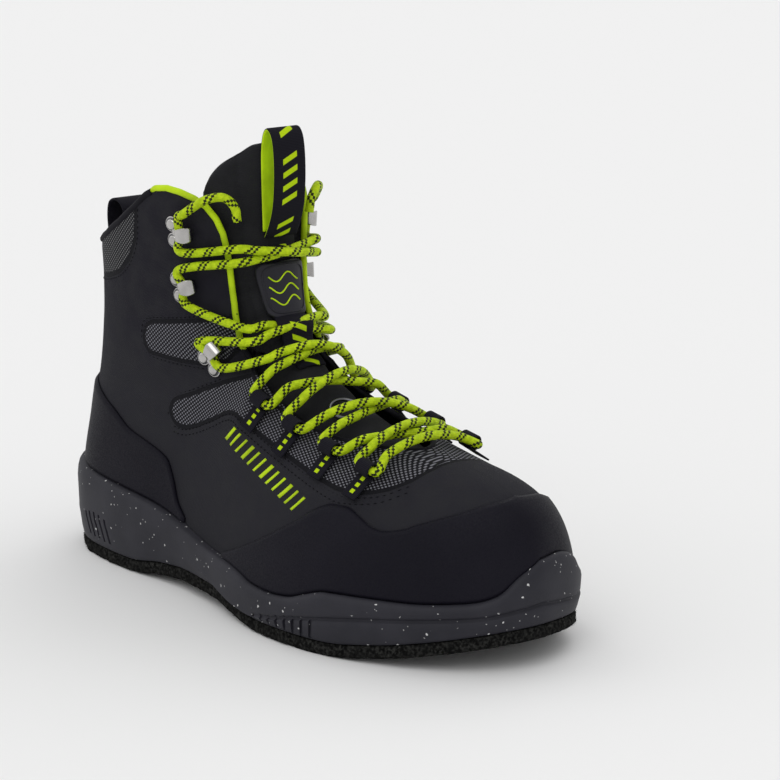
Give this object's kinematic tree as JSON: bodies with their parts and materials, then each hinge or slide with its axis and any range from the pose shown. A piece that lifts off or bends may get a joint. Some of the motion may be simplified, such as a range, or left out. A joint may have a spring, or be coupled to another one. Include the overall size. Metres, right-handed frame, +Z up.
{
  "type": "wading boot",
  "caption": "Empty right wading boot with a felt sole, a rubber cup midsole, a high lace-up cloth upper, a padded tongue, webbing lace loops and metal speed hooks.",
  "frame": {"origin": "on the floor under the middle of the heel seat", "axes": "+X towards the toe, +Z up, -Y the boot's outer (lateral) side, +Y its inner (medial) side"},
  "size_m": [0.315, 0.1258, 0.2207],
  "materials": {
    "felt": "fuzzy felt",
    "midsole_rubber": "matt, flecked",
    "quarter_cloth": "fine woven",
    "coated_cloth": "coated, fine grain",
    "tongue_cloth": "padded mesh",
    "webbing": "ribbed",
    "badge_rubber": "satin",
    "lace_cord": "braided",
    "nickel": "polished",
    "insole_cloth": "knitted"
  },
  "bodies": {
    "root": {"felt_outsole": "felt", "gaiter_ring": "nickel", "heel_counter": "coated_cloth", "heel_pull_loop": "webbing", "insole": "insole_cloth", "lace_bar": "lace_cord", "lace_crossing_1": "lace_cord", "lace_crossing_2": "lace_cord", "lace_crossing_3": "lace_cord", "lace_crossing_4": "lace_cord", "lace_crossing_5": "lace_cord", "lace_crossing_6": "lace_cord", "lace_end_lateral": "lace_cord", "lace_end_medial": "lace_cord", "lace_loop_lateral_1": "webbing", "lace_loop_lateral_2": "webbing", "lace_loop_lateral_3": "webbing", "lace_loop_lateral_4": "webbing", "lace_loop_medial_1": "webbing", "lace_loop_medial_2": "webbing", "lace_loop_medial_3": "webbing", "lace_loop_medial_4": "webbing", "midsole": "midsole_rubber", "speed_hook_lateral_1": "nickel", "speed_hook_lateral_2": "nickel", "speed_hook_lateral_3": "nickel", "speed_hook_medial_1": "nickel", "speed_hook_medial_2": "nickel", "speed_hook_medial_3": "nickel", "toe_rand": "coated_cloth", "tongue": "tongue_cloth", "tongue_badge": "badge_rubber", "tongue_pull_loop": "webbing", "tongue_strap": "webbing", "upper": "quarter_cloth"}
  },
  "joints": []
}
